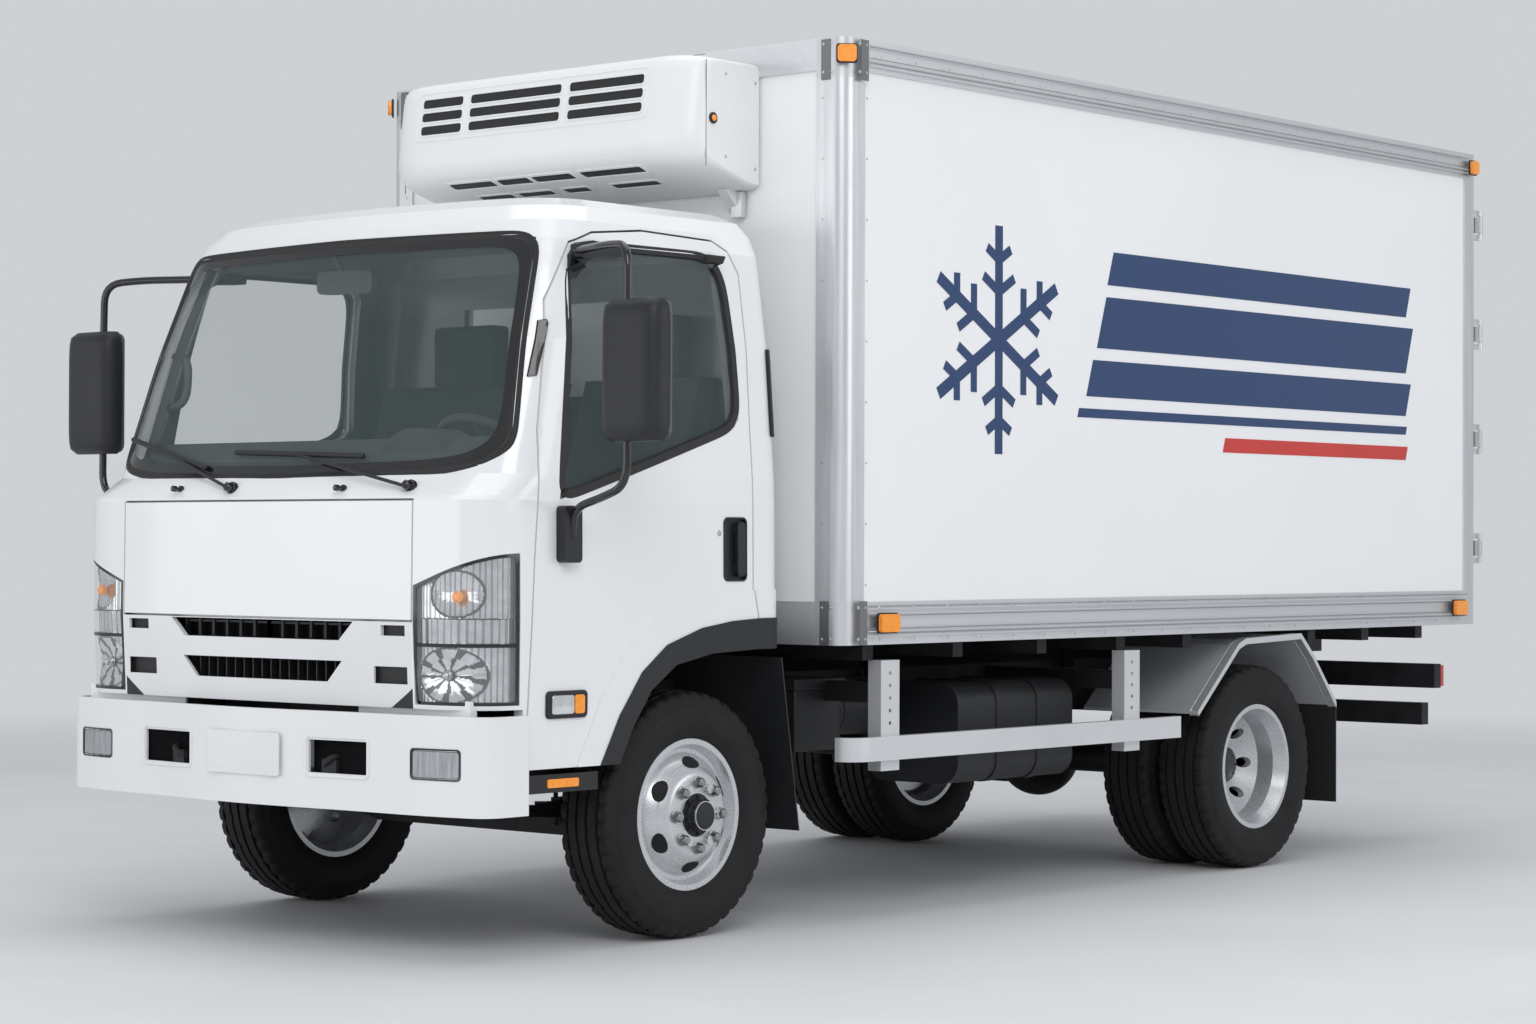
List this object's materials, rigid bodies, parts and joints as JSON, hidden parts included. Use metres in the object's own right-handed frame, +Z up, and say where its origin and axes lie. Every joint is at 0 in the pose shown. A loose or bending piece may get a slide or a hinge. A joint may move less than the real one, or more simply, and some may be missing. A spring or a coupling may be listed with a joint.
{
  "type": "refrigerated truck",
  "caption": "Light forward-control refrigerated truck with tilting cab, insulated box body and nose-mounted cooling unit.",
  "frame": {"origin": "centre of the footprint on the road, under the middle of the overall length and width", "axes": "+X to the truck's left, front faces -Y, +Z up"},
  "size_m": [2.524, 5.371, 2.6469],
  "materials": {
    "white_paint": "gloss",
    "white_panel": "satin",
    "black_plastic": "matt",
    "grey_plastic": "matt",
    "chassis_paint": "satin",
    "cast_dark": "matt",
    "bare_aluminium": "brushed",
    "corner_grey": "satin",
    "steel": "satin",
    "silver_paint": "satin",
    "tyre_rubber": "matt",
    "rubber_black": "matt",
    "tinted_glass": "gloss",
    "lamp_lens": "gloss",
    "seat_cloth": "matt"
  },
  "bodies": {
    "chassis": {"chassis_frame": "chassis_paint", "front_axle_beam": "cast_dark", "rear_axle": "cast_dark", "propeller_shaft": "steel", "leaf_springs": "cast_dark", "engine_and_gearbox": "cast_dark", "fuel_tank": "chassis_paint", "front_bumper": "white_paint", "side_guards": "bare_aluminium", "rear_mudguards": "bare_aluminium", "front_mudguards": "black_plastic", "subframe": "chassis_paint", "box_floor": "bare_aluminium", "box_sides": "white_panel", "box_front_wall": "white_panel", "box_roof": "white_panel", "rear_frame": "bare_aluminium", "box_rails": "bare_aluminium", "corner_posts": "bare_aluminium", "corner_castings": "corner_grey", "tail_lamp_board": "black_plastic", "tail_lamps": "lamp_lens", "underrun_bar": "chassis_paint", "cooling_unit_cover": "white_panel", "cooling_unit_core": "grey_plastic"},
    "cab": {"cab_shell": "white_paint", "cab_glass": "tinted_glass", "grille_panel": "white_paint", "headlamps": "lamp_lens", "arch_flares": "black_plastic", "dashboard": "grey_plastic", "seats": "seat_cloth", "wipers": "black_plastic", "cab_steps": "black_plastic"},
    "door_left": {"door_left": "white_paint", "door_glass_left": "tinted_glass", "mirror_left": "black_plastic", "door_handle_left": "black_plastic"},
    "door_right": {"door_right": "white_paint", "door_glass_right": "tinted_glass", "mirror_right": "black_plastic", "door_handle_right": "black_plastic"},
    "front_lid": {"front_lid": "white_paint"},
    "steering_wheel": {"steering_wheel": "black_plastic"},
    "knuckle_left": {"steering_knuckle_left": "cast_dark"},
    "knuckle_right": {"steering_knuckle_right": "cast_dark"},
    "tie_rod": {"tie_rod": "steel"},
    "wheel_front_left": {"tyre_front_left": "tyre_rubber", "rim_front_left": "silver_paint"},
    "wheel_front_right": {"tyre_front_right": "tyre_rubber", "rim_front_right": "silver_paint"},
    "wheel_rear_left": {"tyres_rear_left": "tyre_rubber", "rims_rear_left": "silver_paint"},
    "wheel_rear_right": {"tyres_rear_right": "tyre_rubber", "rims_rear_right": "silver_paint"},
    "rear_door_left": {"rear_door_left": "white_panel"},
    "rear_door_right": {"rear_door_right": "white_panel"}
  },
  "joints": [
    {"name": "cab_tilt", "type": "hinge", "parent": "chassis", "child": "cab", "pos_m": [0, -2.4555, 0.752], "axis": [1, 0, 0], "range_deg": [0, 45]},
    {"name": "door_left_hinge", "type": "hinge", "parent": "cab", "child": "door_left", "pos_m": [0.872, -2.4405, 1], "axis": [0, 0, -1], "range_deg": [0, 70]},
    {"name": "door_right_hinge", "type": "hinge", "parent": "cab", "child": "door_right", "pos_m": [-0.872, -2.4405, 1], "axis": [0, 0, 1], "range_deg": [0, 70]},
    {"name": "front_lid_hinge", "type": "hinge", "parent": "cab", "child": "front_lid", "pos_m": [0, -2.638, 1.25], "axis": [-1, 0, 0], "range_deg": [0, 60]},
    {"name": "steer_left", "type": "hinge", "parent": "chassis", "child": "knuckle_left", "pos_m": [0.66, -1.7355, 0.357], "axis": [0, 0, 1], "range_deg": [-35, 35]},
    {"name": "steer_right", "type": "hinge", "parent": "chassis", "child": "knuckle_right", "pos_m": [-0.66, -1.7355, 0.357], "axis": [0, 0, 1], "range_deg": [-35, 35]},
    {"name": "tie_rod_ball", "type": "hinge", "parent": "knuckle_left", "child": "tie_rod", "pos_m": [0.66, -1.6005, 0.28], "axis": [0, 0, 1], "range_deg": [-35, 35]},
    {"name": "steering_wheel_turn", "type": "hinge", "parent": "cab", "child": "steering_wheel", "pos_m": [0.4, -2.0825, 1.371], "axis": [0, 0.6428, 0.766], "range_deg": [-525, 525]},
    {"name": "roll_front_left", "type": "hinge", "parent": "knuckle_left", "child": "wheel_front_left", "pos_m": [0.745, -1.7355, 0.357], "axis": [1, 0, 0], "continuous": true},
    {"name": "roll_front_right", "type": "hinge", "parent": "knuckle_right", "child": "wheel_front_right", "pos_m": [-0.745, -1.7355, 0.357], "axis": [1, 0, 0], "continuous": true},
    {"name": "roll_rear_left", "type": "hinge", "parent": "chassis", "child": "wheel_rear_left", "pos_m": [0.7355, 1.1345, 0.357], "axis": [1, 0, 0], "continuous": true},
    {"name": "roll_rear_right", "type": "hinge", "parent": "chassis", "child": "wheel_rear_right", "pos_m": [-0.7355, 1.1345, 0.357], "axis": [1, 0, 0], "continuous": true},
    {"name": "rear_door_left_hinge", "type": "hinge", "parent": "chassis", "child": "rear_door_left", "pos_m": [0.985, 2.6755, 1.75], "axis": [0, 0, -1], "range_deg": [0, 270]},
    {"name": "rear_door_right_hinge", "type": "hinge", "parent": "chassis", "child": "rear_door_right", "pos_m": [-0.985, 2.6755, 1.75], "axis": [0, 0, 1], "range_deg": [0, 270]}
  ],
  "couplings": [
    {"joint": "steer_right", "follows": "steer_left", "ratio": 1},
    {"joint": "tie_rod_ball", "follows": "steer_left", "ratio": -1},
    {"joint": "steering_wheel_turn", "follows": "steer_left", "ratio": 15}
  ]
}
